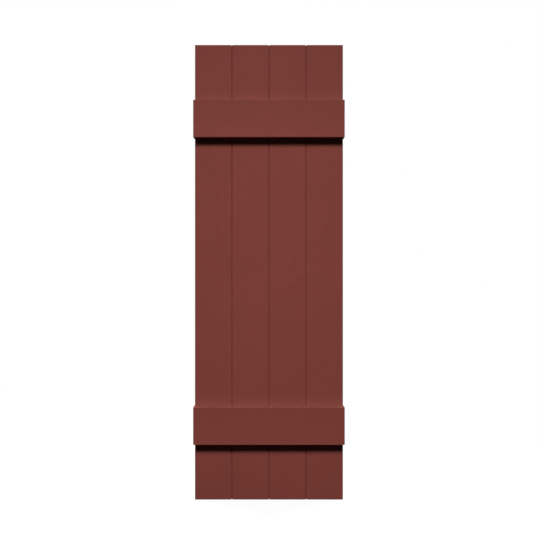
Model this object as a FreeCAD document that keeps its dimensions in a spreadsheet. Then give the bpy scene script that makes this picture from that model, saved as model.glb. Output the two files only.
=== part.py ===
import FreeCAD
import Part
import Sketcher
import os

# A board and batten shutter: four moulded boards, tongue and groove at their meeting lines, held
# together by two moulded battens. X runs to the viewer's right, Y back to the wall and Z up.
# The origin is the centre of the back, on the plane that lies against the wall.

# Driving sizes in millimetres.
SIZES = {
    "board_width": 88.9,
    "board_length": 1092.2,
    "board_depth": 12.7,
    "board_skin": 2.4,
    "edge_wall": 2.4,
    "end_wall": 2.4,
    "groove_bevel": 1.8,
    "board_edge_radius": 0.8,
    "corner_ease": 1.9,
    "tongue_reach": 3.0,
    "tongue_thickness": 2.4,
    "tongue_from_back": 5.6,
    "tongue_gap": 0.3,
    "rib_thickness": 1.8,
    "rib_depth": 8.0,
    "rib_spacing": 34.0,
    "batten_height": 88.9,
    "batten_projection": 15.9,
    "batten_wall": 2.5,
    "batten_edge_radius": 0.6,
    "batten_from_end": 135.2,
    "batten_side_gap": 0.2,
    "screw_offset": 25.0,
    "screw_hole": 4.4,
    "boss_diameter": 9.0,
    "boss_bore": 3.2,
}

# The boards from left to right: name, grooved left edge, tongued right edge.
BOARDS = [
    ("left_outer_board", False, True),
    ("left_inner_board", True, True),
    ("right_inner_board", True, True),
    ("right_outer_board", True, False),
]

# The battens: name, and the side of the middle that each is on.
BATTENS = [
    ("upper_batten", 1),
    ("lower_batten", -1),
]

# Bays between the cross ribs from one batten's middle to the other's.
RIB_BAYS = 8

# Formulas shared by the pieces, on the cells of the sheet.
HALF_BOARD = "Sizes.board_width / 2"
HALF_LENGTH = "Sizes.board_length / 2"
HALF_PANEL = f"{len(BOARDS) / 2} * Sizes.board_width"
HOLLOW_DEPTH = "Sizes.board_depth - Sizes.board_skin"
GROOVE_REACH = "(Sizes.tongue_reach + Sizes.tongue_gap)"
GROOVED_WALL = f"({GROOVE_REACH} + Sizes.edge_wall)"
BATTEN_MIDDLE = f"({HALF_LENGTH} - Sizes.batten_from_end - Sizes.batten_height / 2)"
BATTEN_DEPTH = "(Sizes.board_depth + Sizes.batten_projection)"
BATTEN_INNER = f"({HALF_PANEL} + Sizes.batten_side_gap)"
BATTEN_OUTER = f"({BATTEN_INNER} + Sizes.batten_wall)"

# Two lengths closer than this are the same when an edge is looked up.
SAME = 1e-4


def make_sheet(doc):
    """Writes each driving size into a row of the sheet, under its own alias."""
    sheet = doc.addObject("Spreadsheet::Sheet", "Sizes")
    for row, (name, value) in enumerate(SIZES.items(), start=1):
        sheet.set(f"A{row}", name)
        sheet.set(f"B{row}", str(value))
        sheet.setAlias(f"B{row}", name)
    doc.recompute()


def make_body(doc, name):
    """Starts an empty body whose label is the piece's name."""
    body = doc.addObject("PartDesign::Body", name)
    body.Label = name
    return body


def origin_feature(body, role):
    """Finds one of the body's own origin planes or axes by its role."""
    return next(item for item in body.Origin.OriginFeatures if item.Role == role)


def make_sketch(body, name, plane, offset=None):
    """Attaches a sketch to an origin plane, moved along the plane's normal by a formula."""
    sketch = body.newObject("Sketcher::SketchObject", name)
    sketch.AttachmentSupport = [(origin_feature(body, plane), "")]
    sketch.MapMode = "FlatFace"
    if offset:
        sketch.setExpression("AttachmentOffset.Base.z", offset)
    return sketch


def tie(sketch, kind, references, formula):
    """Adds a dimension to the sketch and binds it to a formula."""
    value = float(sketch.evalExpression(formula))
    index = sketch.addConstraint(Sketcher.Constraint(kind, *references, value))
    name = f"size_{index}"
    sketch.renameConstraint(index, name)
    sketch.setExpression(f"Constraints.{name}", formula)


def tie_point(sketch, geometry, end, across, up):
    """Binds both coordinates of a point, measured from the sketch's origin."""
    tie(sketch, "DistanceX", (-1, 1, geometry, end), across)
    tie(sketch, "DistanceY", (-1, 1, geometry, end), up)


def point_at(sketch, across, up):
    """Works out where two formulas put a point of the sketch."""
    return FreeCAD.Vector(float(sketch.evalExpression(across)), float(sketch.evalExpression(up)), 0)


def draw_outline(sketch, corners):
    """Draws a closed run of straight lines through corners given as pairs of formulas."""
    first = sketch.GeometryCount
    count = len(corners)
    points = [point_at(sketch, across, up) for across, up in corners]
    for index in range(count):
        sketch.addGeometry(Part.LineSegment(points[index], points[(index + 1) % count]))
    for index, (across, up) in enumerate(corners):
        following = first + (index + 1) % count
        sketch.addConstraint(Sketcher.Constraint("Coincident", first + index, 2, following, 1))
        tie_point(sketch, first + index, 1, across, up)


def draw_rectangle(sketch, left, right, bottom, top):
    """Draws a rectangle between four formulas."""
    draw_outline(sketch, [(left, bottom), (right, bottom), (right, top), (left, top)])


def draw_circle(sketch, across, up, diameter):
    """Draws a circle with its centre and diameter bound to formulas."""
    radius = float(sketch.evalExpression(diameter)) / 2
    circle = Part.Circle(point_at(sketch, across, up), FreeCAD.Vector(0, 0, 1), radius)
    geometry = sketch.addGeometry(circle)
    tie_point(sketch, geometry, 3, across, up)
    tie(sketch, "Diameter", (geometry,), diameter)


def add_pad(body, name, sketch, length, reverse=False, symmetric=False):
    """Pads a sketch by a formula, both ways from its plane where it is symmetric."""
    pad = body.newObject("PartDesign::Pad", name)
    pad.Profile = sketch
    pad.setExpression("Length", length)
    pad.Reversed = reverse
    if symmetric:
        pad.SideType = "Symmetric"
    return pad


def add_pocket(body, name, sketch, length):
    """Cuts a sketch on the back plane forwards into the piece by a formula."""
    pocket = body.newObject("PartDesign::Pocket", name)
    pocket.Profile = sketch
    pocket.setExpression("Length", length)
    pocket.Reversed = True
    return pocket


def add_row(body, name, feature, axis, length, count):
    """Repeats a feature evenly along an axis of the body, over a length given by a formula."""
    row = body.newObject("PartDesign::LinearPattern", name)
    row.Originals = [feature]
    row.Direction = (origin_feature(body, axis), [""])
    row.setExpression("Length", length)
    row.Occurrences = count
    body.Tip = row
    return row


def add_fillet(body, name, radius, wanted):
    """Rounds the edges of the body whose two ends are both wanted points."""
    body.Document.recompute()
    base = body.Tip
    names = []
    for index, edge in enumerate(base.Shape.Edges, start=1):
        if all(wanted(vertex.Point) for vertex in edge.Vertexes):
            names.append(f"Edge{index}")
    fillet = body.newObject("PartDesign::Fillet", name)
    fillet.Base = (base, names)
    fillet.setExpression("Radius", radius)
    return fillet


def board_section(grooved, tongued):
    """Lists the corners of a board's section, clockwise from the back of its left edge."""
    left = f"-{HALF_BOARD}"
    right = HALF_BOARD
    shoulder = "Sizes.groove_bevel - Sizes.board_depth"
    half_tongue = "Sizes.tongue_thickness / 2"
    corners = [(left, "0")]
    if grooved:
        bottom = f"{left} + {GROOVE_REACH}"
        near = f"{half_tongue} + Sizes.tongue_gap - Sizes.tongue_from_back"
        far = f"-{half_tongue} - Sizes.tongue_gap - Sizes.tongue_from_back"
        corners += [(left, near), (bottom, near), (bottom, far), (left, far)]
    corners += [
        (left, shoulder),
        (f"{left} + Sizes.groove_bevel", "-Sizes.board_depth"),
        (f"{right} - Sizes.groove_bevel", "-Sizes.board_depth"),
        (right, shoulder),
    ]
    if tongued:
        tip = f"{right} + Sizes.tongue_reach"
        near = f"{half_tongue} - Sizes.tongue_from_back"
        far = f"-{half_tongue} - Sizes.tongue_from_back"
        corners += [(right, far), (tip, far), (tip, near), (right, near)]
    corners.append((right, "0"))
    return corners


def cut_meeting_corners(body, grooved, tongued):
    """Cuts the corners off the meeting edges at both ends, so that each groove ends in a small notch."""
    plan = make_sketch(body, "corner_plan", "XZ_Plane")
    ease = "Sizes.corner_ease"
    for side in (-1, 1):
        outside = f"{side} * ({HALF_LENGTH} + {ease})"
        inside = f"{side} * ({HALF_LENGTH} - {ease})"
        below = f"{side} * ({HALF_LENGTH} - 2 * {ease})"
        if grooved:
            clear = f"-{HALF_BOARD} - {ease}"
            draw_outline(plan, [(f"2 * {ease} - {HALF_BOARD}", outside), (clear, outside), (clear, below)])
        if tongued:
            clear = f"{HALF_BOARD} + {GROOVE_REACH}"
            start = (f"{HALF_BOARD} - 2 * {ease}", outside)
            draw_outline(plan, [start, (clear, outside), (clear, inside), (HALF_BOARD, inside)])
    add_pocket(body, "meeting_corners", plan, "Sizes.board_depth")


def add_board_ribs(body, left, right):
    """Adds two long ribs and the cross ribs, which stand on the inside of the front skin."""
    half_rib = "Sizes.rib_thickness / 2"
    bottom = f"Sizes.end_wall - {HALF_LENGTH}"
    top = f"{HALF_LENGTH} - Sizes.end_wall"

    long_ribs = make_sketch(body, "long_rib_plan", "XZ_Plane", HOLLOW_DEPTH)
    for middle in ("-Sizes.rib_spacing / 2", "Sizes.rib_spacing / 2"):
        draw_rectangle(long_ribs, f"{middle} - {half_rib}", f"{middle} + {half_rib}", bottom, top)
    add_pad(body, "long_ribs", long_ribs, "Sizes.rib_depth", reverse=True)

    end_ribs = make_sketch(body, "end_rib_plan", "XZ_Plane", HOLLOW_DEPTH)
    end_middle = f"({HALF_LENGTH} + {BATTEN_MIDDLE}) / 2"
    for middle in (f"-{end_middle}", end_middle):
        draw_rectangle(end_ribs, left, right, f"{middle} - {half_rib}", f"{middle} + {half_rib}")
    add_pad(body, "end_ribs", end_ribs, "Sizes.rib_depth", reverse=True)

    cross_rib = make_sketch(body, "cross_rib_plan", "XZ_Plane", HOLLOW_DEPTH)
    low = f"-{BATTEN_MIDDLE}"
    draw_rectangle(cross_rib, left, right, f"{low} - {half_rib}", f"{low} + {half_rib}")
    rib = add_pad(body, "cross_rib", cross_rib, "Sizes.rib_depth", reverse=True)
    add_row(body, "cross_ribs", rib, "Z_Axis", f"2 * {BATTEN_MIDDLE}", RIB_BAYS + 1)


def make_board(doc, name, index, grooved, tongued):
    """Makes one board: a section padded along its length, hollowed from the back and ribbed."""
    body = make_body(doc, name)
    section = make_sketch(body, "board_section", "XY_Plane")
    draw_outline(section, board_section(grooved, tongued))
    add_pad(body, "board_blank", section, "Sizes.board_length", symmetric=True)
    front = -SIZES["board_depth"]
    add_fillet(body, "front_edges", "Sizes.board_edge_radius", lambda point: abs(point.y - front) < SAME)

    left = f"{GROOVED_WALL if grooved else 'Sizes.edge_wall'} - {HALF_BOARD}"
    right = f"{HALF_BOARD} - Sizes.edge_wall"
    hollow = make_sketch(body, "hollow_plan", "XZ_Plane")
    draw_rectangle(hollow, left, right, f"Sizes.end_wall - {HALF_LENGTH}", f"{HALF_LENGTH} - Sizes.end_wall")
    add_pocket(body, "hollow_back", hollow, HOLLOW_DEPTH)
    add_board_ribs(body, left, right)

    holes = make_sketch(body, "screw_plan", "XZ_Plane")
    for _, side in BATTENS:
        for step in (-1, 1):
            draw_circle(holes, "0", f"{side} * {BATTEN_MIDDLE} + {step} * Sizes.screw_offset", "Sizes.screw_hole")
    add_pocket(body, "screw_holes", holes, "Sizes.board_depth")
    cut_meeting_corners(body, grooved, tongued)

    place = f"{index - (len(BOARDS) - 1) / 2} * Sizes.board_width"
    body.setExpression("Placement.Base.x", place)
    return body


def make_batten(doc, name, side):
    """Makes one batten: a cap, open at the back, whose end walls run back over the outer boards' sides."""
    body = make_body(doc, name)
    half_height = "Sizes.batten_height / 2"
    blank = make_sketch(body, "batten_front", "XZ_Plane")
    draw_rectangle(blank, f"-{BATTEN_OUTER}", BATTEN_OUTER, f"-{half_height}", half_height)
    add_pad(body, "batten_blank", blank, BATTEN_DEPTH)

    front = -SIZES["board_depth"] - SIZES["batten_projection"]
    add_fillet(body, "front_edges", "Sizes.batten_edge_radius", lambda point: abs(point.y - front) < SAME)

    passage = make_sketch(body, "board_passage", "XZ_Plane")
    draw_rectangle(passage, f"-{BATTEN_INNER}", BATTEN_INNER, f"-{half_height}", half_height)
    add_pocket(body, "passage", passage, "Sizes.board_depth")

    hollow = make_sketch(body, "hollow_plan", "XZ_Plane")
    inner_height = f"({half_height} - Sizes.batten_wall)"
    draw_rectangle(hollow, f"-{BATTEN_INNER}", BATTEN_INNER, f"-{inner_height}", inner_height)
    add_pocket(body, "hollow_back", hollow, f"{BATTEN_DEPTH} - Sizes.batten_wall")

    add_screw_bosses(body)
    body.setExpression("Placement.Base.z", f"{side} * {BATTEN_MIDDLE}")
    return body


def add_screw_bosses(body):
    """Adds two bored bosses behind each board, from the batten's front wall back to the boards' faces."""
    first_board = f"-{HALF_PANEL} + {HALF_BOARD}"
    run = f"{len(BOARDS) - 1} * Sizes.board_width"
    seat = "Sizes.board_depth"
    reach = "Sizes.batten_projection - Sizes.batten_wall"

    plan = make_sketch(body, "boss_plan", "XZ_Plane", seat)
    bores = make_sketch(body, "bore_plan", "XZ_Plane", seat)
    for step in (-1, 1):
        up = f"{step} * Sizes.screw_offset"
        draw_circle(plan, first_board, up, "Sizes.boss_diameter")
        draw_circle(bores, first_board, up, "Sizes.boss_bore")
    boss = add_pad(body, "boss", plan, reach)
    add_row(body, "bosses", boss, "X_Axis", run, len(BOARDS))
    bore = add_pocket(body, "bore", bores, reach)
    add_row(body, "bores", bore, "X_Axis", run, len(BOARDS))


def check(doc, bodies):
    """Stops if any object failed to compute, or if a piece isn't one valid solid."""
    for item in doc.Objects:
        if "Invalid" in item.State or "Error" in item.State:
            raise RuntimeError(f"{item.Label} did not compute")
    for body in bodies:
        shape = body.Shape
        if shape.isNull() or not shape.isValid() or len(shape.Solids) != 1:
            raise RuntimeError(f"{body.Label} is not one valid solid")


def main():
    doc = FreeCAD.newDocument("shutter")
    make_sheet(doc)
    bodies = [make_board(doc, name, index, *edges) for index, (name, *edges) in enumerate(BOARDS)]
    bodies += [make_batten(doc, name, side) for name, side in BATTENS]
    doc.recompute()
    check(doc, bodies)
    os.makedirs("parts", exist_ok=True)
    for body in bodies:
        body.Shape.exportStep(f"parts/{body.Label}.step")


main()
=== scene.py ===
import math

import bpy
import numpy as np
from bpy.props import FloatProperty, FloatVectorProperty, PointerProperty
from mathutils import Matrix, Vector


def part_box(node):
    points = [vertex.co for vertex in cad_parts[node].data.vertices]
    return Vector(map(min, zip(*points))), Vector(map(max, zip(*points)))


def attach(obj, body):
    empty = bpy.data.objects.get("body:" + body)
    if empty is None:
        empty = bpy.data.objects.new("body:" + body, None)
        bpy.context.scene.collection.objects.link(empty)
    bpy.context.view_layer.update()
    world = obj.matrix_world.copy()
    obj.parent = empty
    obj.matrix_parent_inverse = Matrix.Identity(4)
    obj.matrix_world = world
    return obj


bl_info = {
    "name": "Board and Batten Shutter",
    "version": (1, 0, 0),
    "blender": (4, 5, 0),
    "location": "3D View > Sidebar > Shutter",
    "description": "Finishes the boards and battens, adds the screws at the back and sets the studio",
    "category": "Object",
}

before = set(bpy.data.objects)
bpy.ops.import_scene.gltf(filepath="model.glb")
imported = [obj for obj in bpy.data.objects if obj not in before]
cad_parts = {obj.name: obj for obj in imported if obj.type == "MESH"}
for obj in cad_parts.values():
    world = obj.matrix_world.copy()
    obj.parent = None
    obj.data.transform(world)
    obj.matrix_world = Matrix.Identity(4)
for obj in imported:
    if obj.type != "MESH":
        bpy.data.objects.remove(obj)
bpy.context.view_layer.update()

BODY = "root"
BOARDS = ("left_outer_board", "left_inner_board", "right_inner_board", "right_outer_board")
BATTENS = ("upper_batten", "lower_batten")

# Planes and spacings of the frame, in metres.
PANEL_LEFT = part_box(BOARDS[0])[0].x
PANEL_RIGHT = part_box(BOARDS[-1])[1].x
BOARD_PITCH = (PANEL_RIGHT - PANEL_LEFT) / len(BOARDS)
BOARD_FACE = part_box(BOARDS[0])[0].y
BATTEN_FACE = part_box(BATTENS[0])[0].y
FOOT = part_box(BOARDS[0])[0].z

# Moulded grain. A range is the stretch of a noise's values that a mask is drawn from.
NOISE_MIDDLE = 0.5          # about which a noise's values lie
FINE_SHARE = 0.65           # share of the fine streaks in the grain's height, beside the broad ones
PORE_DROP = 0.5             # depth of a pore, as a share of the grain's depth
PORE_RANGE = (0.56, 0.68)
STREAK_RANGE = (0.3, 0.7)
STREAK_TINT = 0.35          # weight of the streaks in the colour, where the clouds weigh 1
GRAIN_ROUGHNESS = 0.05      # how much rougher the grained front is than the rest
ROUGHNESS_DRIFT = 0.05      # how far the roughness drifts to either side

# What lies on one face of a piece fades out round its edges, at these depths behind it, in metres.
FACE_FULL = 0.0001
FACE_GONE = 0.0006

# Clouds on the plastic and on the zinc.
CLOUD_SCALE = 9.0           # clouds in a metre
CLOUD_RANGE = (0.28, 0.72)
GLOSS_RATIO = 2.3           # how much finer the gloss drifts than the colour
ZINC_CLOUD_SCALE = 420.0
ZINC_DARK = (0.46, 0.45, 0.41, 1)
ZINC_LIGHT = (0.62, 0.62, 0.60, 1)
ZINC_ROUGHNESS = (0.26, 0.42)

# Shares that shape a screw.
RIM_SHARE = 0.35            # radius of the head's round rim, to the head's height
CROWN_SHARE = 0.15          # rise of the head's dome, to the head's height
CONE_START = 0.8            # where the shank's cone starts, along the shank
CONE_END = 0.97             # and where it ends
CONE_TIP = 0.55             # radius of the cone's end, to the shank's
RECESS_WALL = 0.4           # width of the recess's eased wall, to its arm's width
RECESS_RISE = 0.6           # how far the recess's floor rises to its arm's end, to its depth

# Fineness of a screw's mesh.
TOP_RINGS = 33
RIM_RINGS = 6
SCREW_COLUMNS = 96
SHARP_ANGLE = math.radians(40)
GOLDEN_ANGLE = math.pi * (3 - math.sqrt(5))     # turn from one screw's recess to the next one's

# Stage.
WHITE = (1, 1, 1, 1)
FLOOR_HALF = 30.0           # from the floor's middle to its edge, in metres
FADE_START = 0.3            # where the floor's shadows start to fade, to their reach
SENSOR_WIDTH = 36.0         # in millimetres, as camera lenses are


# Settings

class PlasticFinish(bpy.types.PropertyGroup):
    """The plastic that the boards and battens are moulded from."""

    colour: FloatVectorProperty(
        name="Colour", description="Colour of the plastic, right through",
        subtype="COLOR", size=3, min=0, max=1, default=(0.178, 0.0445, 0.0345))
    roughness: FloatProperty(
        name="Roughness", description="Middle of the satin surface's roughness",
        subtype="FACTOR", min=0, max=1, default=0.46)
    sheen_level: FloatProperty(
        name="Specular level", description="Strength of the satin reflection",
        subtype="FACTOR", min=0, max=1, default=0.04)
    mottle: FloatProperty(
        name="Mottle", description="How far the colour drifts to either side",
        subtype="FACTOR", min=0, max=0.5, default=0.035)
    # Painted light: a pale tint on the boards just above each batten's ledge, in place of the light
    # that the lit ledge bounces up onto them.
    painted_light: FloatVectorProperty(
        name="Painted_light", description="Colour of the thin dust above the battens' ledges",
        subtype="COLOR", size=3, min=0, max=1, default=(0.66, 0.28, 0.225))
    upper_painted_light: FloatProperty(
        name="Upper dust", description="Share of dust on the boards just above the upper batten",
        subtype="FACTOR", min=0, max=1, default=0.053)
    lower_painted_light: FloatProperty(
        name="Lower dust", description="Share of dust on the boards just above the lower batten",
        subtype="FACTOR", min=0, max=1, default=0.07)
    painted_light_reach: FloatProperty(
        name="Dust reach", description="Height of the dust on the boards above a batten's ledge",
        unit="LENGTH", min=0.005, max=0.2, default=0.034)
    # Painted shade: each batten paler towards its lower edge and darker towards its upper one, for
    # how the light falls on its face.
    batten_painted_shade: FloatProperty(
        name="Batten drift",
        description="How much paler a batten is at its lower edge and darker at its upper one",
        subtype="FACTOR", min=0, max=0.5, default=0.05)
    # Painted shade: a darker tint on the battens' top ledges, which face the light and would
    # otherwise show brighter than their fronts.
    ledge_painted_shade: FloatVectorProperty(
        name="Ledge_painted_shade", description="Colour of the dull film on the battens' ledges",
        subtype="COLOR", size=3, min=0, max=1, default=(0.105, 0.044, 0.038))
    ledge_painted_shade_share: FloatProperty(
        name="Film share", description="Share of the film on the battens' ledges",
        subtype="FACTOR", min=0, max=1, default=0.3)
    pore_dark: FloatProperty(
        name="Pore darkness", description="How much darker the pores of the moulded grain are",
        subtype="FACTOR", min=0, max=1, default=0.10)
    grain_width: FloatProperty(
        name="Grain width", description="Distance across one streak of the moulded grain",
        unit="LENGTH", min=0.0002, max=0.01, default=0.0008)
    grain_length: FloatProperty(
        name="Grain length", description="Distance along one streak of the moulded grain",
        unit="LENGTH", min=0.005, max=0.5, default=0.040)
    grain_depth: FloatProperty(
        name="Grain depth", description="Depth of the moulded grain",
        unit="LENGTH", min=0, max=0.001, default=0.00013)


class ScrewSizes(bpy.types.PropertyGroup):
    """The pan-head screws that hold the battens from behind."""

    board_skin: FloatProperty(
        name="Board skin", description="Thickness of the board's front wall, under the head",
        unit="LENGTH", min=0.001, max=0.01, default=0.0024)
    row_offset: FloatProperty(
        name="Row offset", description="Height of each screw above or below the batten's middle",
        unit="LENGTH", min=0.005, max=0.04, default=0.025)
    head_diameter: FloatProperty(
        name="Head diameter", description="Diameter of the screw's head",
        unit="LENGTH", min=0.004, max=0.015, default=0.0084)
    head_height: FloatProperty(
        name="Head height", description="Height of the head above its seat",
        unit="LENGTH", min=0.001, max=0.006, default=0.0027)
    shank_diameter: FloatProperty(
        name="Shank diameter", description="Diameter of the screw under its head",
        unit="LENGTH", min=0.002, max=0.006, default=0.0039)
    shank_length: FloatProperty(
        name="Shank length", description="Length of the screw under its head",
        unit="LENGTH", min=0.004, max=0.03, default=0.0125)
    recess_width: FloatProperty(
        name="Recess width", description="Width of one arm of the cross recess",
        unit="LENGTH", min=0.0004, max=0.003, default=0.0011)
    recess_reach: FloatProperty(
        name="Recess reach", description="Length of one arm from the middle of the head",
        unit="LENGTH", min=0.001, max=0.004, default=0.0023)
    recess_depth: FloatProperty(
        name="Recess depth", description="Depth of the recess in the middle of the head",
        unit="LENGTH", min=0.0004, max=0.003, default=0.0016)


class StudioSettings(bpy.types.PropertyGroup):
    """The camera, the lamps and the floor."""

    camera_distance: FloatProperty(
        name="Camera distance", description="Distance from the camera to the boards' faces",
        unit="LENGTH", min=0.5, max=10, default=1.75)
    view_width: FloatProperty(
        name="View width", description="Width of the picture at the boards' faces",
        unit="LENGTH", min=0.2, max=10, default=1.297)
    camera_right: FloatProperty(
        name="Camera right", description="How far the camera is to the right of the shutter's middle",
        unit="LENGTH", min=-1, max=1, default=0.0025)
    camera_up: FloatProperty(
        name="Camera up", description="How far the camera is above the shutter's middle",
        unit="LENGTH", min=-1, max=1, default=0.0055)
    key_distance: FloatProperty(
        name="Key distance", description="Distance of the main soft light from the shutter's middle",
        unit="LENGTH", min=1, max=30, default=4.05)
    key_elevation: FloatProperty(
        name="Key elevation", description="Angle of the main soft light above the horizon",
        subtype="ANGLE", min=0, max=math.pi / 2, default=math.radians(50.8))
    key_turn: FloatProperty(
        name="Key turn", description="Angle of the main soft light to the left of the camera",
        subtype="ANGLE", min=-math.pi / 2, max=math.pi / 2, default=math.radians(2))
    key_size: FloatProperty(
        name="Key size", description="Side of the main soft light",
        unit="LENGTH", min=0.1, max=10, default=1.1)
    key_spread: FloatProperty(
        name="Key spread", description="Angle over which the main soft light spreads",
        subtype="ANGLE", min=math.radians(5), max=math.pi, default=math.radians(38))
    key_aim: FloatProperty(
        name="Key aim", description="Height of the point that the main soft light faces",
        unit="LENGTH", min=-2, max=2, default=-0.46)
    key_power: FloatProperty(
        name="Key power", description="Power of the main soft light",
        unit="POWER", min=0, max=10000, default=15.07)
    back_place: FloatVectorProperty(
        name="Back place", description="Place of the right one of the two soft lights behind",
        subtype="XYZ", unit="LENGTH", size=3, default=(4.6, 3.4, 3.6))
    back_size: FloatProperty(
        name="Back size", description="Side of each of the two soft lights behind the shutter",
        unit="LENGTH", min=0.1, max=10, default=2.5)
    back_spread: FloatProperty(
        name="Back spread", description="Angle over which the two soft lights behind spread",
        subtype="ANGLE", min=math.radians(5), max=math.pi, default=math.radians(55))
    back_power: FloatProperty(
        name="Back power", description="Power of each of the two soft lights behind the shutter",
        unit="POWER", min=0, max=10000, default=52.0)
    fill: FloatProperty(
        name="Fill", description="Strength of the light that comes from all round",
        min=0, max=2, default=0.012)
    floor_reach: FloatProperty(
        name="Floor reach", description="Distance at which the floor has turned plain white",
        unit="LENGTH", min=0.5, max=10, default=1.15)
    floor_shade: FloatProperty(
        name="Floor shade",
        description="Share of the lamps' light that the floor shows, shadows with it",
        subtype="FACTOR", min=0, max=1, default=0.14)
    floor_glow: FloatProperty(
        name="Floor glow", description="Even light of the floor, so that it is white where it is lit",
        min=0, max=1, default=0.8)
    floor_bounce: FloatProperty(
        name="Floor bounce",
        description="Share of the lamps' light that the floor sends up to the shutter",
        subtype="FACTOR", min=0, max=1, default=0.004)


# Node helpers

def add_node(tree, kind, inputs=None, **settings):
    """Adds a node, sets its own settings and then its inputs, which are values or sockets."""
    node = tree.nodes.new(kind)
    for name, value in settings.items():
        setattr(node, name, value)
    for name, value in (inputs or {}).items():
        socket = node.inputs[name]
        if isinstance(value, bpy.types.NodeSocket):
            tree.links.new(value, socket)
        else:
            socket.default_value = value
    return node


def calculate(tree, operation, *values):
    """The result of one sum on values or sockets."""
    return add_node(tree, "ShaderNodeMath", dict(enumerate(values)), operation=operation).outputs[0]


def remap(tree, value, source=(0, 1), target=(0, 1), **settings):
    """The value carried from one range to another, and held at that range's ends."""
    node = add_node(tree, "ShaderNodeMapRange", {
        "Value": value, "From Min": source[0], "From Max": source[1],
        "To Min": target[0], "To Max": target[1]}, **settings)
    return node.outputs["Result"]


def noise(tree, place, scale, detail, roughness, distortion=0.0):
    """A noise from 0 to 1."""
    node = add_node(tree, "ShaderNodeTexNoise", {
        "Vector": place, "Scale": scale, "Detail": detail, "Roughness": roughness,
        "Distortion": distortion})
    return node.outputs["Fac"]


def blend(tree, factor, first, second):
    """A colour between two others."""
    node = add_node(
        tree, "ShaderNodeMix", {"Factor": factor, "A": first, "B": second}, data_type="RGBA")
    return node.outputs["Result"]


def brighten(tree, colour, value):
    """The colour times a brightness."""
    node = add_node(tree, "ShaderNodeHueSaturation", {"Color": colour, "Value": value})
    return node.outputs["Color"]


def object_place(tree):
    """The place on the piece, in its own coordinates."""
    return add_node(tree, "ShaderNodeTexCoord").outputs["Object"]


def new_group(name, inputs, outputs):
    """Starts a node group of values and returns it with its two end nodes."""
    group = bpy.data.node_groups.new(name, "ShaderNodeTree")
    for socket, kind in inputs.items():
        group.interface.new_socket(socket, in_out="INPUT", socket_type=kind)
    for socket in outputs:
        group.interface.new_socket(socket, in_out="OUTPUT", socket_type="NodeSocketFloat")
    start = group.nodes.new("NodeGroupInput")
    end = group.nodes.new("NodeGroupOutput")
    return group, start, end


def grain_group():
    """Moulded grain: fine streaks over broad ones and short pores, along the vector's long direction.

    Streak is the broad noise drawn out to full contrast, and Pore is 1 in the short dashes where a
    third noise runs high. Height is a share of the fine noise and the rest of the broad one,
    centred on 0, less the pores.
    """
    name = "moulded_grain"
    if name in bpy.data.node_groups:
        return bpy.data.node_groups[name]
    outputs = ("Height", "Streak", "Pore")
    group, start, end = new_group(name, {"Vector": "NodeSocketVector"}, outputs)
    place = start.outputs["Vector"]
    fine = noise(group, place, scale=1.0, detail=4.0, roughness=0.55)
    broad = noise(group, place, scale=0.25, detail=3.0, roughness=0.5, distortion=0.4)
    dashes = noise(group, place, scale=1.7, detail=1.0, roughness=0.4, distortion=0.2)
    streak = remap(group, broad, STREAK_RANGE)
    pore = remap(group, dashes, PORE_RANGE, interpolation_type="SMOOTHSTEP")
    fine_part = calculate(group, "MULTIPLY_ADD", fine, FINE_SHARE, -NOISE_MIDDLE)
    ridges = calculate(group, "MULTIPLY_ADD", broad, 1 - FINE_SHARE, fine_part)
    height = calculate(group, "MULTIPLY_ADD", pore, -PORE_DROP, ridges)
    for socket, value in zip(outputs, (height, streak, pore)):
        group.links.new(value, end.inputs[socket])
    return group


def mottle_group():
    """Slow drift of a surface: a cloudy mask for the colour, and a finer one for the gloss."""
    name = "moulded_mottle"
    if name in bpy.data.node_groups:
        return bpy.data.node_groups[name]
    inputs = {"Vector": "NodeSocketVector", "Scale": "NodeSocketFloat"}
    outputs = ("Cloud", "Gloss")
    group, start, end = new_group(name, inputs, outputs)
    place, scale = start.outputs["Vector"], start.outputs["Scale"]
    cloud = noise(group, place, scale, detail=5.0, roughness=0.6)
    fine_scale = calculate(group, "MULTIPLY", scale, GLOSS_RATIO)
    gloss = noise(group, place, fine_scale, detail=6.0, roughness=0.65)
    for socket, value in zip(outputs, (cloud, gloss)):
        group.links.new(remap(group, value, CLOUD_RANGE), end.inputs[socket])
    return group


# Materials

def new_material(name):
    """Starts a material with an empty tree and returns it with its tree and its output."""
    material = bpy.data.materials.new(name)
    material.use_nodes = True
    tree = material.node_tree
    tree.nodes.clear()
    output = tree.nodes.new("ShaderNodeOutputMaterial")
    return material, tree, output.inputs["Surface"]


def painted_ledge_light(tree, finish, up, colour):
    """The colour with painted light just above each batten's ledge: a pale tint that stands in for
    the light which the lit ledge bounces up onto the boards.

    Each share of this painted light grows with the square of an even ramp down to the ledge, and
    ends at the batten's middle, behind it.
    """
    for batten, share in zip(BATTENS, (finish.upper_painted_light, finish.lower_painted_light)):
        low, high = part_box(batten)
        ramp = remap(tree, up, (high.z + finish.painted_light_reach, high.z))
        square = calculate(tree, "POWER", ramp, 2.0)
        above = calculate(tree, "GREATER_THAN", up, (low.z + high.z) / 2)
        rise = calculate(tree, "MULTIPLY", square, above)
        amount = calculate(tree, "MULTIPLY", rise, share)
        # Painted light: the boards turn towards the pale tint just above the ledge.
        colour = blend(tree, amount, colour, (*finish.painted_light, 1))
    return colour


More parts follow.
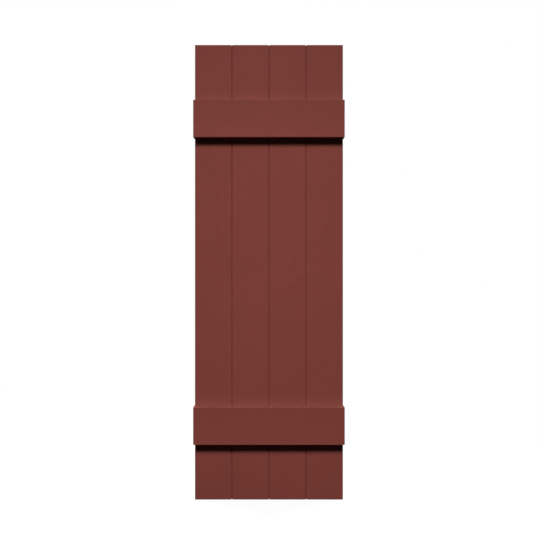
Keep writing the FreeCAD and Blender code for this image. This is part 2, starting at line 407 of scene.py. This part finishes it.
def batten_shade(tree, finish, up, colour):
    """The colour with painted shade: a brightness that falls evenly from a batten's lower edge to its
    upper one, for how the light falls on its face.

    A darker tint lies on the ledge as painted shade. The battens lie equally far above and below 0,
    so the sign of the height says which one it is.
    """
    low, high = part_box(BATTENS[0])
    side = calculate(tree, "SIGN", up)
    local = calculate(tree, "MULTIPLY_ADD", side, -(low.z + high.z) / 2, up)
    half = (high.z - low.z) / 2
    brightness = (1 + finish.batten_painted_shade, 1 - finish.batten_painted_shade)
    # Painted shade: paler at the lower edge, darker at the upper one.
    with_painted_shade = brighten(tree, colour, remap(tree, local, (-half, half), brightness))
    # Painted shade on the ledge: a darker tint towards the batten's top plane.
    ledge_painted_shade = remap(tree, local, (half - FACE_GONE, half - FACE_FULL), (0, finish.ledge_painted_shade_share))
    return blend(tree, ledge_painted_shade, with_painted_shade, (*finish.ledge_painted_shade, 1))


def plastic_colour(tree, finish, grain, mottle, front):
    """The plastic's colour, which drifts with clouds and streaks and is darker in the pores."""
    drift = calculate(
        tree, "MULTIPLY_ADD", grain.outputs["Streak"], STREAK_TINT, mottle.outputs["Cloud"])
    even = calculate(tree, "DIVIDE", drift, 1 + STREAK_TINT)
    colour = Vector(finish.colour)
    dark = (*(colour * (1 - finish.mottle)), 1)
    light = (*(colour * (1 + finish.mottle)), 1)
    pores = calculate(tree, "MULTIPLY", grain.outputs["Pore"], front)
    brightness = calculate(tree, "MULTIPLY_ADD", pores, -finish.pore_dark, 1.0)
    return brighten(tree, blend(tree, even, dark, light), brightness)


def plastic_material(name, finish, grain_axis, face, shade):
    """Satin plastic, coloured right through, with grain along one axis on the front of the piece.

    The grain fades out round the front edges, so the sides and the moulded back are plain and a
    little glossier. The shade paints light or shade into the colour by height.
    """
    material, tree, surface = new_material(name)
    place = object_place(tree)
    axes = add_node(tree, "ShaderNodeSeparateXYZ", {"Vector": place})
    front = remap(tree, axes.outputs["Y"], (face + FACE_GONE, face + FACE_FULL))

    scale = [1 / finish.grain_width] * 3
    scale["XYZ".index(grain_axis)] = 1 / finish.grain_length
    stretched = add_node(tree, "ShaderNodeMapping", {"Vector": place, "Scale": scale})
    grain = add_node(
        tree, "ShaderNodeGroup", {"Vector": stretched.outputs["Vector"]}, node_tree=grain_group())
    mottle = add_node(
        tree, "ShaderNodeGroup", {"Vector": place, "Scale": CLOUD_SCALE}, node_tree=mottle_group())

    colour = plastic_colour(tree, finish, grain, mottle, front)
    roughness = (finish.roughness - ROUGHNESS_DRIFT, finish.roughness + ROUGHNESS_DRIFT)
    gloss = remap(tree, mottle.outputs["Gloss"], target=roughness)
    height = calculate(tree, "MULTIPLY", grain.outputs["Height"], front)
    bump = add_node(tree, "ShaderNodeBump", {
        "Height": height, "Strength": 1.0, "Distance": finish.grain_depth})
    shader = add_node(tree, "ShaderNodeBsdfPrincipled", {
        "Base Color": shade(tree, finish, axes.outputs["Z"], colour),
        "Roughness": calculate(tree, "MULTIPLY_ADD", front, GRAIN_ROUGHNESS, gloss),
        "Normal": bump.outputs["Normal"],
        "Specular IOR Level": finish.sheen_level})
    tree.links.new(shader.outputs["BSDF"], surface)
    return material


def zinc_material():
    """Zinc-plated steel: a cool grey metal, clouded and a little dulled."""
    material, tree, surface = new_material("screw_zinc")
    mottle = add_node(tree, "ShaderNodeGroup", {
        "Vector": object_place(tree), "Scale": ZINC_CLOUD_SCALE}, node_tree=mottle_group())
    shader = add_node(tree, "ShaderNodeBsdfPrincipled", {
        "Base Color": blend(tree, mottle.outputs["Cloud"], ZINC_DARK, ZINC_LIGHT),
        "Roughness": remap(tree, mottle.outputs["Gloss"], target=ZINC_ROUGHNESS),
        "Metallic": 1.0})
    tree.links.new(shader.outputs["BSDF"], surface)
    return material


def dress(names, material):
    """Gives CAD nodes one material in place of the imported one."""
    for name in names:
        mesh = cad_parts[name].data
        mesh.materials.clear()
        mesh.materials.append(material)


# Screws

def screw_profile(sizes):
    """Radius and height of a pan-head screw's outline, from the head's middle to the shank's tip.

    The top is a shallow dome, the rim a quarter round, the side straight down to the seat, and the
    shank runs from the seat to a short cone.
    """
    head = sizes.head_diameter / 2
    shank = sizes.shank_diameter / 2
    tail = -sizes.shank_length
    rim = RIM_SHARE * sizes.head_height
    crown = CROWN_SHARE * sizes.head_height
    top_radius = np.linspace(0, head - rim, TOP_RINGS + 1)[1:]
    top_height = sizes.head_height - crown * (top_radius / head) ** 2
    turn = np.linspace(0, math.pi / 2, RIM_RINGS + 1)[1:]
    rim_radius = head - rim + rim * np.sin(turn)
    rim_height = top_height[-1] - rim + rim * np.cos(turn)
    radius = np.concatenate([top_radius, rim_radius, [head, shank, shank, CONE_TIP * shank]])
    height = np.concatenate([top_height, rim_height, [0, 0, CONE_START * tail, CONE_END * tail]])
    return radius, height


def smooth_step(value):
    """A cubic ease from 0 to 1: 3 v^2 - 2 v^3."""
    value = np.clip(value, 0, 1)
    return value * value * (3 - 2 * value)


def cross_recess(radius, angle, sizes):
    """Depth of the cross recess at a polar point of the head.

    The point is taken along and across the nearest of the four arms. The recess gets shallower from
    the middle to the arm's end, and its walls are eased.
    """
    nearest = np.mod(angle + math.pi / 4, math.pi / 2) - math.pi / 4
    along = radius * np.cos(nearest)
    across = np.abs(radius * np.sin(nearest))
    wall = RECESS_WALL * sizes.recess_width
    inside = smooth_step((sizes.recess_width / 2 - across) / wall + 0.5)
    reach = smooth_step((sizes.recess_reach - along) / wall)
    fall = np.clip(1 - RECESS_RISE * along / sizes.recess_reach, 0, 1)
    return sizes.recess_depth * inside * reach * fall


def screw_seats(batten, sizes):
    """Middles of the seats of a batten's screws, two on every board."""
    low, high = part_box(batten)
    across = PANEL_LEFT + BOARD_PITCH * (np.arange(len(BOARDS)) + 0.5)
    up = (low.z + high.z) / 2 + sizes.row_offset * np.array([-1, 1])
    columns, rows = np.meshgrid(across, up)
    depth = np.full(columns.size, BOARD_FACE + sizes.board_skin)
    return np.stack([columns.ravel(), depth, rows.ravel()], axis=-1)


def screw_points(seats, sizes):
    """Points of screws with heads that face back along Y: a head's middle, the rings and the tip.

    A ring's point is at seat + (r cos a, h, r sin a), with h lowered by the recess on the dome.
    """
    radius, height = screw_profile(sizes)
    angle = np.arange(SCREW_COLUMNS) * (2 * math.pi / SCREW_COLUMNS)
    ring_radius = np.repeat(radius[:, None], SCREW_COLUMNS, axis=1)
    ring_height = np.repeat(height[:, None], SCREW_COLUMNS, axis=1)
    ring_height[:TOP_RINGS] -= cross_recess(ring_radius[:TOP_RINGS], angle, sizes)

    turned = angle + GOLDEN_ANGLE * np.arange(len(seats))[:, None, None]
    rings = np.stack(np.broadcast_arrays(
        ring_radius * np.cos(turned), ring_height, ring_radius * np.sin(turned)), axis=-1)
    middle = np.zeros((len(seats), 1, 3))
    middle[..., 1] = sizes.head_height - sizes.recess_depth
    tip = np.zeros((len(seats), 1, 3))
    tip[..., 1] = -sizes.shank_length
    points = np.concatenate([middle, rings.reshape(len(seats), -1, 3), tip], axis=1)
    return points + seats[:, None, :]


def screw_faces(ring_count):
    """Faces of one screw, turned outward: quads between its rings, and a fan at either end."""
    column = np.arange(SCREW_COLUMNS)
    following = (column + 1) % SCREW_COLUMNS
    ring = 1 + np.arange(ring_count - 1)[:, None] * SCREW_COLUMNS
    next_ring = ring + SCREW_COLUMNS
    quads = np.stack(
        [ring + column, ring + following, next_ring + following, next_ring + column], axis=-1)
    last_ring = 1 + (ring_count - 1) * SCREW_COLUMNS
    tip = last_ring + SCREW_COLUMNS
    top_fan = np.stack([np.zeros_like(column), 1 + following, 1 + column], axis=-1)
    tip_fan = np.stack(
        [np.full_like(column, tip), last_ring + column, last_ring + following], axis=-1)
    return quads.reshape(-1, 4), top_fan, tip_fan


def screw_mesh(name, seats, sizes):
    """One mesh of the screws on these seats."""
    points = screw_points(seats, sizes)
    point_count = points.shape[1]
    ring_count = (point_count - 2) // SCREW_COLUMNS     # the head's middle and the tip are on no ring
    first_point = np.arange(len(seats))[:, None, None] * point_count
    faces = []
    for block in screw_faces(ring_count):
        faces += (block + first_point).reshape(-1, block.shape[1]).tolist()
    mesh = bpy.data.meshes.new(name)
    mesh.from_pydata(points.reshape(-1, 3).tolist(), [], faces)
    mesh.polygons.foreach_set("use_smooth", np.ones(len(mesh.polygons), dtype=bool))
    mesh.set_sharp_from_angle(angle=SHARP_ANGLE)
    mesh.update()
    return mesh


def new_piece(name, mesh, material):
    """Links a mesh as a piece of the shutter that rides on its one body."""
    piece = bpy.data.objects.new(name, mesh)
    bpy.context.scene.collection.objects.link(piece)
    mesh.materials.append(material)
    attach(piece, BODY)


# Stage

def grey(level):
    """A neutral colour."""
    return (level, level, level, 1)


def seen_directly(tree):
    """A socket that is 1 for camera, glossy and transmission rays, and 0 for the rest."""
    rays = add_node(tree, "ShaderNodeLightPath").outputs
    either = calculate(tree, "MAXIMUM", rays["Is Camera Ray"], rays["Is Glossy Ray"])
    return calculate(tree, "MAXIMUM", either, rays["Is Transmission Ray"])


def floor_material(studio):
    """White that shows shadows near the shutter and is plain far off.

    It is dim to the rays that would carry its light up to the shutter.
    """
    material, tree, surface = new_material("floor_white")
    # The glow is only there to be seen, so no light is sampled from it.
    material.cycles.emission_sampling = "NONE"
    level = add_node(
        tree, "ShaderNodeVectorMath", {0: object_place(tree), 1: (1, 1, 0)}, operation="MULTIPLY")
    distance = add_node(
        tree, "ShaderNodeVectorMath", {0: level.outputs["Vector"]}, operation="LENGTH")
    fade = (FADE_START * studio.floor_reach, studio.floor_reach)
    far = remap(tree, distance.outputs["Value"], fade, interpolation_type="SMOOTHSTEP")
    plain = add_node(tree, "ShaderNodeEmission", {"Color": WHITE, "Strength": 1.0})
    lit = add_node(tree, "ShaderNodeBsdfDiffuse", {"Color": grey(studio.floor_shade)})
    glow = add_node(tree, "ShaderNodeEmission", {"Color": WHITE, "Strength": studio.floor_glow})
    near = add_node(
        tree, "ShaderNodeAddShader", {0: lit.outputs["BSDF"], 1: glow.outputs["Emission"]})
    seen = add_node(tree, "ShaderNodeMixShader", {
        "Fac": far, 1: near.outputs["Shader"], 2: plain.outputs["Emission"]})
    bounced = add_node(tree, "ShaderNodeBsdfDiffuse", {"Color": grey(studio.floor_bounce)})
    mix = add_node(tree, "ShaderNodeMixShader", {
        "Fac": seen_directly(tree), 1: bounced.outputs["BSDF"], 2: seen.outputs["Shader"]})
    tree.links.new(mix.outputs["Shader"], surface)
    return material


def set_floor(studio):
    """A wide pale floor under the shutter's foot."""
    mesh = bpy.data.meshes.new("floor")
    corners = np.array([(-1, -1), (1, -1), (1, 1), (-1, 1)]) * FLOOR_HALF
    points = np.column_stack([corners, np.full(len(corners), FOOT)])
    mesh.from_pydata(points.tolist(), [], [(0, 1, 2, 3)])
    mesh.materials.append(floor_material(studio))
    floor = bpy.data.objects.new("floor", mesh)
    bpy.context.scene.collection.objects.link(floor)


def set_surround(studio):
    """A white surround that lights the shutter only by the fill's strength."""
    world = bpy.data.worlds.new("surround")
    bpy.context.scene.world = world
    world.use_nodes = True
    tree = world.node_tree
    tree.nodes.clear()
    output = tree.nodes.new("ShaderNodeOutputWorld")
    strength = remap(tree, seen_directly(tree), target=(studio.fill, 1.0))
    light = add_node(tree, "ShaderNodeBackground", {"Color": WHITE, "Strength": strength})
    tree.links.new(light.outputs["Background"], output.inputs["Surface"])


def add_soft_light(name, place, power, size, spread, aim=0.0):
    """A square lamp that faces the shutter at a height."""
    lamp = bpy.data.lights.new(name, "AREA")
    lamp.shape = "SQUARE"
    lamp.size = size
    lamp.energy = power
    lamp.spread = spread
    holder = bpy.data.objects.new(name, lamp)
    bpy.context.scene.collection.objects.link(holder)
    holder.location = place
    holder.rotation_mode = "QUATERNION"
    holder.rotation_quaternion = (Vector((0, 0, aim)) - Vector(place)).to_track_quat("-Z", "Y")


def set_lamps(studio):
    """One soft light high in front, and two behind that light the sides and the back."""
    level = studio.key_distance * math.cos(studio.key_elevation)
    key = (
        -level * math.sin(studio.key_turn),
        -level * math.cos(studio.key_turn),
        studio.key_distance * math.sin(studio.key_elevation),
    )
    add_soft_light(
        "key_light", key, studio.key_power, studio.key_size, studio.key_spread, studio.key_aim)
    right, behind, up = studio.back_place
    for name, side in (("left_back_light", -1), ("right_back_light", 1)):
        place = (side * right, behind, up)
        add_soft_light(name, place, studio.back_power, studio.back_size, studio.back_spread)


def set_camera(studio):
    """A level camera that looks straight at the boards' faces."""
    camera = bpy.data.cameras.new("camera")
    camera.sensor_width = SENSOR_WIDTH
    camera.lens = SENSOR_WIDTH * studio.camera_distance / studio.view_width
    holder = bpy.data.objects.new("camera", camera)
    bpy.context.scene.collection.objects.link(holder)
    holder.location = (
        studio.camera_right, BOARD_FACE - studio.camera_distance, studio.camera_up)
    holder.rotation_euler = (math.pi / 2, 0, 0)
    bpy.context.scene.camera = holder


# Operators

class SHUTTER_OT_finish_boards(bpy.types.Operator):
    """Finishes the four boards with grained plastic, the grain upright"""

    bl_idname = "shutter.finish_boards"
    bl_label = "Finish Boards"

    def execute(self, context):
        finish = context.scene.shutter_plastic
        dress(BOARDS, plastic_material("board_plastic", finish, "Z", BOARD_FACE, painted_ledge_light))
        return {"FINISHED"}


class SHUTTER_OT_finish_battens(bpy.types.Operator):
    """Finishes the two battens with grained plastic, the grain level"""

    bl_idname = "shutter.finish_battens"
    bl_label = "Finish Battens"

    def execute(self, context):
        finish = context.scene.shutter_plastic
        dress(BATTENS, plastic_material("batten_plastic", finish, "X", BATTEN_FACE, batten_shade))
        return {"FINISHED"}


class SHUTTER_OT_add_screws(bpy.types.Operator):
    """Adds the screws that hold each batten, two through every board"""

    bl_idname = "shutter.add_screws"
    bl_label = "Add Screws"

    def execute(self, context):
        sizes = context.scene.shutter_screws
        material = zinc_material()
        for batten in BATTENS:
            name = f"{batten}_screws"
            mesh = screw_mesh(name, screw_seats(batten, sizes), sizes)
            new_piece(name, mesh, material)
        return {"FINISHED"}


class SHUTTER_OT_set_stage(bpy.types.Operator):
    """Sets the floor, the surround, the lamps and the camera"""

    bl_idname = "shutter.set_stage"
    bl_label = "Set Stage"

    def execute(self, context):
        studio = context.scene.shutter_studio
        context.scene.view_settings.view_transform = "Standard"
        set_floor(studio)
        set_surround(studio)
        set_lamps(studio)
        set_camera(studio)
        return {"FINISHED"}


class SHUTTER_PT_panel(bpy.types.Panel):
    """Lists the shutter's steps and settings"""

    bl_label = "Board and Batten Shutter"
    bl_idname = "SHUTTER_PT_panel"
    bl_space_type = "VIEW_3D"
    bl_region_type = "UI"
    bl_category = "Shutter"

    def draw(self, context):
        layout = self.layout
        scene = context.scene
        for operator in OPERATORS:
            layout.operator(operator.bl_idname)
        for settings in (scene.shutter_plastic, scene.shutter_screws, scene.shutter_studio):
            box = layout.box()
            for name in settings.__annotations__:
                box.prop(settings, name)


GROUPS = (PlasticFinish, ScrewSizes, StudioSettings)
OPERATORS = (
    SHUTTER_OT_finish_boards,
    SHUTTER_OT_finish_battens,
    SHUTTER_OT_add_screws,
    SHUTTER_OT_set_stage,
)
CLASSES = (*GROUPS, *OPERATORS, SHUTTER_PT_panel)


def register():
    """Registers the classes and gives the scene its settings."""
    for item in CLASSES:
        bpy.utils.register_class(item)
    bpy.types.Scene.shutter_plastic = PointerProperty(type=PlasticFinish)
    bpy.types.Scene.shutter_screws = PointerProperty(type=ScrewSizes)
    bpy.types.Scene.shutter_studio = PointerProperty(type=StudioSettings)


def unregister():
    """Takes the settings and the classes away again."""
    del bpy.types.Scene.shutter_studio
    del bpy.types.Scene.shutter_screws
    del bpy.types.Scene.shutter_plastic
    for item in reversed(CLASSES):
        bpy.utils.unregister_class(item)


def main():
    """Registers the add-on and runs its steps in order."""
    register()
    bpy.ops.shutter.finish_boards()
    bpy.ops.shutter.finish_battens()
    bpy.ops.shutter.add_screws()
    bpy.ops.shutter.set_stage()


if __name__ == "__main__":
    main()
